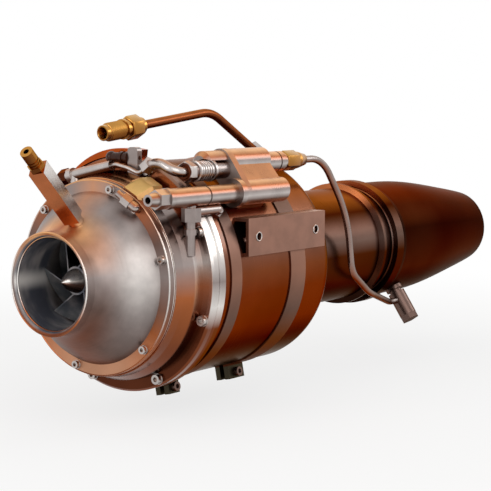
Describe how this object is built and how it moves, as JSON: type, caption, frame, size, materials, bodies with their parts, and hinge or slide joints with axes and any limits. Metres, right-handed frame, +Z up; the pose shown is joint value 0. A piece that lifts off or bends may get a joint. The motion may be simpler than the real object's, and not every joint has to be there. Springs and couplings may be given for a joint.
{
  "type": "small turbojet engine",
  "caption": "Small turbojet engine with a bell intake, ribbed flanges, drum combustor, long jet pipe with a tapered nozzle, side rails and fuel fittings.",
  "frame": {"origin": "centre of the intake mouth, on the rotor axis", "axes": "+X along the rotor axis in the direction of the gas flow, +Z up, and the side with the valve group is -Y"},
  "size_m": [0.753, 0.214, 0.2634],
  "materials": {
    "cover_metal": "satin machined, warm grey",
    "housing_metal": "brushed, copper-brown tint",
    "inner_metal": "machined",
    "casing_metal": "polished sheet with a copper-brown tint",
    "flame_tube": "heat-darkened",
    "pipe_metal": "heat-tinted brown",
    "nozzle_metal": "heat-tinted brown, darker to the rear",
    "band_metal": "brushed",
    "strap_metal": "brushed grey-brown",
    "rail_metal": "matt brown-grey",
    "screw_steel": "plain steel",
    "rotor_metal": "machined",
    "spinner_metal": "polished",
    "bearing_steel": "ground",
    "cage_brass": "machined",
    "shaft_steel": "ground",
    "turbine_alloy": "heat-darkened cast alloy",
    "saddle_metal": "polished, orange reflections",
    "fitting_steel": "bright plated steel",
    "cap_metal": "dark brown",
    "plug_plastic": "black",
    "line_steel": "drawn tube",
    "valve_metal": "satin",
    "valve_end_metal": "bright satin",
    "fitting_brass": "aged brass",
    "reheat_metal": "dull plated steel"
  },
  "bodies": {
    "engine": {"intake_cover": "cover_metal", "cover_screws": "screw_steel", "front_housing": "housing_metal", "main_flange_screws": "screw_steel", "diffuser": "inner_metal", "shaft_tunnel": "inner_metal", "front_outer_race": "bearing_steel", "rear_outer_race": "bearing_steel", "combustor_casing": "casing_metal", "combustor_liner": "flame_tube", "fuel_ring": "flame_tube", "guide_vanes": "flame_tube", "tail_cone": "nozzle_metal", "jet_pipe": "pipe_metal", "jet_pipe_screws": "screw_steel", "exhaust_nozzle": "nozzle_metal", "joint_band": "band_metal", "joint_band_bolt": "band_metal", "front_strap": "strap_metal", "rear_strap": "strap_metal", "strap_screws": "screw_steel", "near_rail": "rail_metal", "far_rail": "rail_metal", "start_air_jet": "fitting_steel", "start_air_nipple": "fitting_steel", "pressure_tap": "fitting_steel", "top_saddle": "saddle_metal", "gallery_block": "housing_metal", "sensor_bracket": "fitting_steel", "sensor_plug": "plug_plastic", "crossover_pipe": "line_steel", "crossover_union": "fitting_steel", "crossover_cap": "cap_metal", "fuel_coupling": "valve_end_metal", "filter_body": "valve_metal", "filter_inlet": "valve_end_metal", "valve_plate": "valve_end_metal", "valve_block": "valve_metal", "valve_bracket": "rail_metal", "valve_outlet": "valve_metal", "feed_nut": "fitting_brass", "feed_tube": "line_steel", "reheat_fitting": "reheat_metal", "drain_elbow": "fitting_steel", "supply_fitting": "fitting_brass", "supply_nut": "fitting_brass", "supply_tube": "line_steel", "supply_elbow": "fitting_steel"},
    "rotor": {"impeller": "rotor_metal", "spinner_nut": "spinner_metal", "rotor_shaft": "shaft_steel", "front_spacer": "shaft_steel", "rear_spacer": "shaft_steel", "front_inner_race": "bearing_steel", "rear_inner_race": "bearing_steel", "turbine_wheel": "turbine_alloy", "turbine_nut": "shaft_steel"},
    "ball_cages": {"bearing_balls": "bearing_steel", "front_cage": "cage_brass", "rear_cage": "cage_brass"}
  },
  "joints": [
    {"name": "rotor_spin", "type": "hinge", "parent": "engine", "child": "rotor", "pos_m": [0, 0, 0], "axis": [1, 0, 0], "continuous": true},
    {"name": "cage_spin", "type": "hinge", "parent": "engine", "child": "ball_cages", "pos_m": [0, 0, 0], "axis": [1, 0, 0], "continuous": true}
  ],
  "couplings": [
    {"joint": "cage_spin", "follows": "rotor_spin", "ratio": 0.39}
  ]
}
